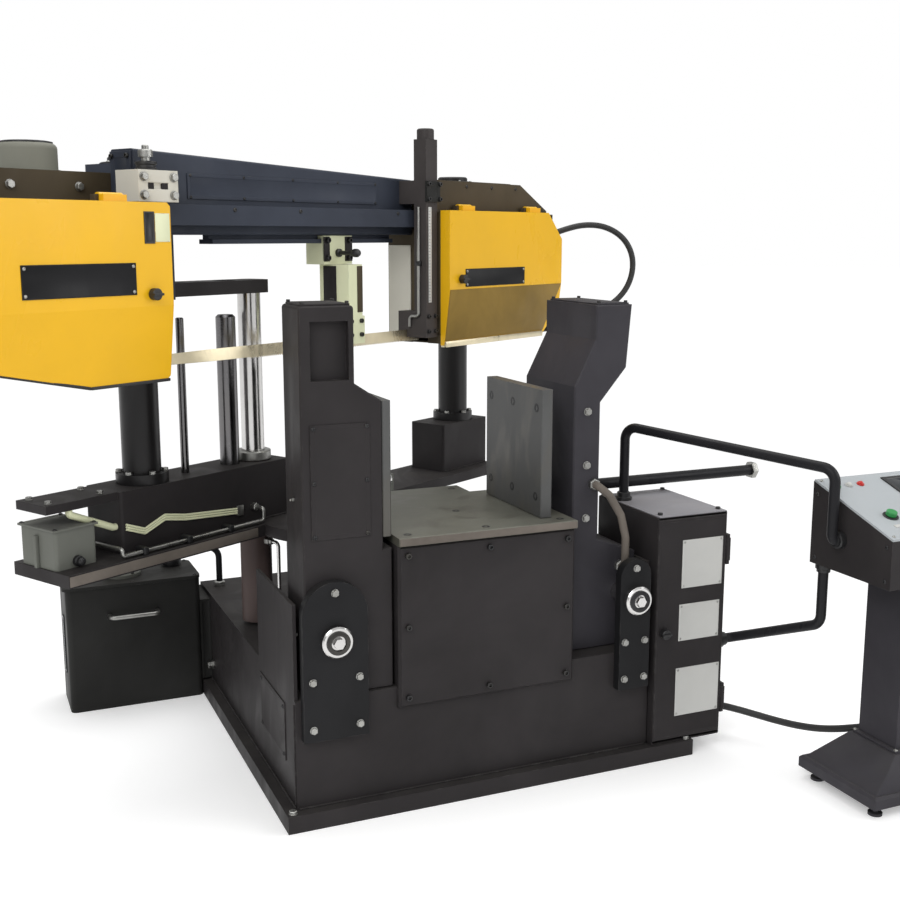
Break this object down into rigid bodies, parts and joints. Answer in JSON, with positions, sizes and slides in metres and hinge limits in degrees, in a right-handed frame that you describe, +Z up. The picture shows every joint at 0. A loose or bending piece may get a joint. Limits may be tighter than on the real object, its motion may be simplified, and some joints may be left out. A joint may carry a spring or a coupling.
{
  "type": "twin pillar saw",
  "caption": "Twin pillar mitre band saw: a bow with a band blade slides on two pillars over a bed with clamping jaws, on a swivelling turntable, with cabinet and console.",
  "frame": {"origin": "middle of the four floor anchor holes, on the floor", "axes": "+Z up, +X to the right along the front of the base, +Y from the operator's side to the back"},
  "size_m": [2.8514, 2.0077, 1.939],
  "materials": {
    "charcoal_paint": "semi-gloss paint",
    "grey_paint": "semi-gloss paint",
    "yellow_paint": "gloss paint",
    "bed_steel": "ground, oiled",
    "jaw_steel": "ground, worn",
    "pillar_steel": "ground, oiled",
    "chrome_steel": "hard chrome",
    "barrel_paint": "semi-gloss paint",
    "black_steel": "black paint",
    "blade_steel": "bright strip",
    "wheel_iron": "turned",
    "bronze": "bored",
    "brush_wire": "wire",
    "hose_rubber": "smooth rubber",
    "latch_plastic": "moulded",
    "panel_paint": "satin paint",
    "red_plastic": "moulded",
    "green_plastic": "moulded"
  },
  "bodies": {
    "base": {"base_plinth": "charcoal_paint", "base_walls": "charcoal_paint", "base_deck": "charcoal_paint", "front_panel": "charcoal_paint", "bed_webs": "charcoal_paint", "bed_front_plate": "bed_steel", "bed_rear_plate": "bed_steel", "pivot_pedestal": "charcoal_paint", "screw_bearings": "charcoal_paint", "cabinet_shell": "charcoal_paint", "hydraulic_unit": "charcoal_paint", "coolant_tank": "charcoal_paint", "console_stand": "charcoal_paint", "console_head": "charcoal_paint", "console_panel": "panel_paint", "conduits": "black_steel", "floor_conduit": "hose_rubber"},
    "left_screw": {"left_screw": "chrome_steel"},
    "left_vise": {"left_jaw_tower": "charcoal_paint", "left_jaw_plate": "jaw_steel"},
    "right_screw": {"right_screw": "chrome_steel"},
    "right_vise": {"right_jaw_tower": "charcoal_paint"},
    "right_jaw": {"right_jaw_plate": "jaw_steel", "vise_rod": "black_steel"},
    "turntable": {"turntable": "charcoal_paint", "arm_boxes": "charcoal_paint", "pillars": "pillar_steel", "lift_barrel": "barrel_paint", "side_rods": "chrome_steel", "swivel_motor": "grey_paint", "roller_brackets": "grey_paint"},
    "rest_roller": {"rest_roller": "chrome_steel"},
    "bow": {"beam": "charcoal_paint", "pillar_sleeves": "charcoal_paint", "sleeve_bushes": "bronze", "left_housing": "charcoal_paint", "right_housing": "charcoal_paint", "blade_wraps": "blade_steel", "blade_runs": "blade_steel", "upper_guard": "charcoal_paint", "drive_unit": "grey_paint", "bow_brackets": "grey_paint", "lift_rod": "chrome_steel", "right_guide_arm": "charcoal_paint", "tension_hose": "hose_rubber"},
    "drive_wheel": {"drive_wheel": "wheel_iron"},
    "idler_wheel": {"idler_wheel": "wheel_iron"},
    "chip_brush": {"chip_brush": "brush_wire"},
    "left_door": {"left_door": "yellow_paint"},
    "left_latch": {"left_latch": "latch_plastic"},
    "right_door": {"right_door": "yellow_paint"},
    "right_latch": {"right_latch": "latch_plastic"},
    "left_guide": {"left_guide_arm": "grey_paint"},
    "cabinet_door": {"cabinet_door": "charcoal_paint"},
    "cabinet_latch": {"cabinet_latch": "latch_plastic"},
    "emergency_stop": {"emergency_stop": "red_plastic"},
    "start_button": {"start_button": "green_plastic"},
    "stop_button": {"stop_button": "red_plastic"},
    "selector_knob": {"selector_knob": "latch_plastic"},
    "feed_knob": {"feed_knob": "latch_plastic"}
  },
  "joints": [
    {"name": "bow_swivel", "type": "hinge", "parent": "base", "child": "turntable", "pos_m": [-0.25, 0, 0.686], "axis": [0, 0, 1], "range_deg": [-30, 15]},
    {"name": "bow_lift", "type": "slide", "parent": "turntable", "child": "bow", "axis": [0, 0, 1], "range_m": [-0.472, 0]},
    {"name": "drive_spin", "type": "hinge", "parent": "bow", "child": "drive_wheel", "pos_m": [-1.21129, -0.555, 1.462], "axis": [-0.5, 0.866, 0], "continuous": true},
    {"name": "idler_spin", "type": "hinge", "parent": "bow", "child": "idler_wheel", "pos_m": [0.37354, 0.36, 1.462], "axis": [-0.5, 0.866, 0], "continuous": true},
    {"name": "brush_spin", "type": "hinge", "parent": "bow", "child": "chip_brush", "pos_m": [0.1553, 0.234, 1.3281], "axis": [-0.5, 0.866, 0], "continuous": true},
    {"name": "left_door_hinge", "type": "hinge", "parent": "bow", "child": "left_door", "pos_m": [-1.17562, -0.62678, 1.691], "axis": [-0.866, -0.5, 0], "range_deg": [0, 100]},
    {"name": "left_latch_turn", "type": "hinge", "parent": "left_door", "child": "left_latch", "pos_m": [-0.92978, -0.54258, 1.455], "axis": [-0.5, 0.866, 0], "range_deg": [0, 90]},
    {"name": "right_door_hinge", "type": "hinge", "parent": "bow", "child": "right_door", "pos_m": [0.417, 0.29272, 1.691], "axis": [-0.866, -0.5, 0], "range_deg": [0, 100]},
    {"name": "right_latch_turn", "type": "hinge", "parent": "right_door", "child": "right_latch", "pos_m": [0.19432, 0.10642, 1.455], "axis": [-0.5, 0.866, 0], "range_deg": [0, 90]},
    {"name": "guide_slide", "type": "slide", "parent": "bow", "child": "left_guide", "axis": [0.866, 0.5, 0], "range_m": [-0.3, 0.15]},
    {"name": "rest_roller_spin", "type": "hinge", "parent": "turntable", "child": "rest_roller", "pos_m": [-0.18992, 0.15593, 0.765], "axis": [0.866, 0.5, 0], "continuous": true},
    {"name": "left_screw_turn", "type": "hinge", "parent": "base", "child": "left_screw", "pos_m": [-0.506, -0.66, 0.53], "axis": [0, 1, 0], "range_deg": [0, 1800]},
    {"name": "left_vise_shift", "type": "slide", "parent": "base", "child": "left_vise", "axis": [0, 1, 0], "range_m": [0, 0.0399]},
    {"name": "right_screw_turn", "type": "hinge", "parent": "base", "child": "right_screw", "pos_m": [0.43, -0.66, 0.53], "axis": [0, 1, 0], "range_deg": [0, 1350]},
    {"name": "right_vise_shift", "type": "slide", "parent": "base", "child": "right_vise", "axis": [0, 1, 0], "range_m": [0, 0.0299]},
    {"name": "right_jaw_clamp", "type": "slide", "parent": "right_vise", "child": "right_jaw", "axis": [1, 0, 0], "range_m": [-0.4, 0]},
    {"name": "cabinet_door_hinge", "type": "hinge", "parent": "base", "child": "cabinet_door", "pos_m": [0.759, -0.6513, 0.41], "axis": [0, 0, 1], "range_deg": [0, 110]},
    {"name": "cabinet_latch_turn", "type": "hinge", "parent": "cabinet_door", "child": "cabinet_latch", "pos_m": [0.532, -0.6543, 0.41], "axis": [0, 1, 0], "range_deg": [0, 90]},
    {"name": "emergency_stop_press", "type": "slide", "parent": "base", "child": "emergency_stop", "axis": [0, 0.3118, -0.9502], "range_m": [0, 0.004], "stiffness_N_per_m": 3000, "springref_m": -0.003},
    {"name": "start_press", "type": "slide", "parent": "base", "child": "start_button", "axis": [0, 0.3118, -0.9502], "range_m": [0, 0.004], "stiffness_N_per_m": 3000, "springref_m": -0.003},
    {"name": "stop_press", "type": "slide", "parent": "base", "child": "stop_button", "axis": [0, 0.3118, -0.9502], "range_m": [0, 0.004], "stiffness_N_per_m": 3000, "springref_m": -0.003},
    {"name": "selector_turn", "type": "hinge", "parent": "base", "child": "selector_knob", "pos_m": [1.12, -1.12548, 0.8343], "axis": [0, -0.3118, 0.9502], "range_deg": [-45, 45]},
    {"name": "feed_turn", "type": "hinge", "parent": "base", "child": "feed_knob", "pos_m": [1.21, -1.12548, 0.8343], "axis": [0, -0.3118, 0.9502], "range_deg": [0, 270]}
  ],
  "couplings": [
    {"joint": "idler_spin", "follows": "drive_spin", "ratio": 1},
    {"joint": "brush_spin", "follows": "drive_spin", "ratio": 5},
    {"joint": "left_screw_turn", "follows": "left_vise_shift", "rad_per_m": 785.4},
    {"joint": "right_screw_turn", "follows": "right_vise_shift", "rad_per_m": 785.4}
  ]
}
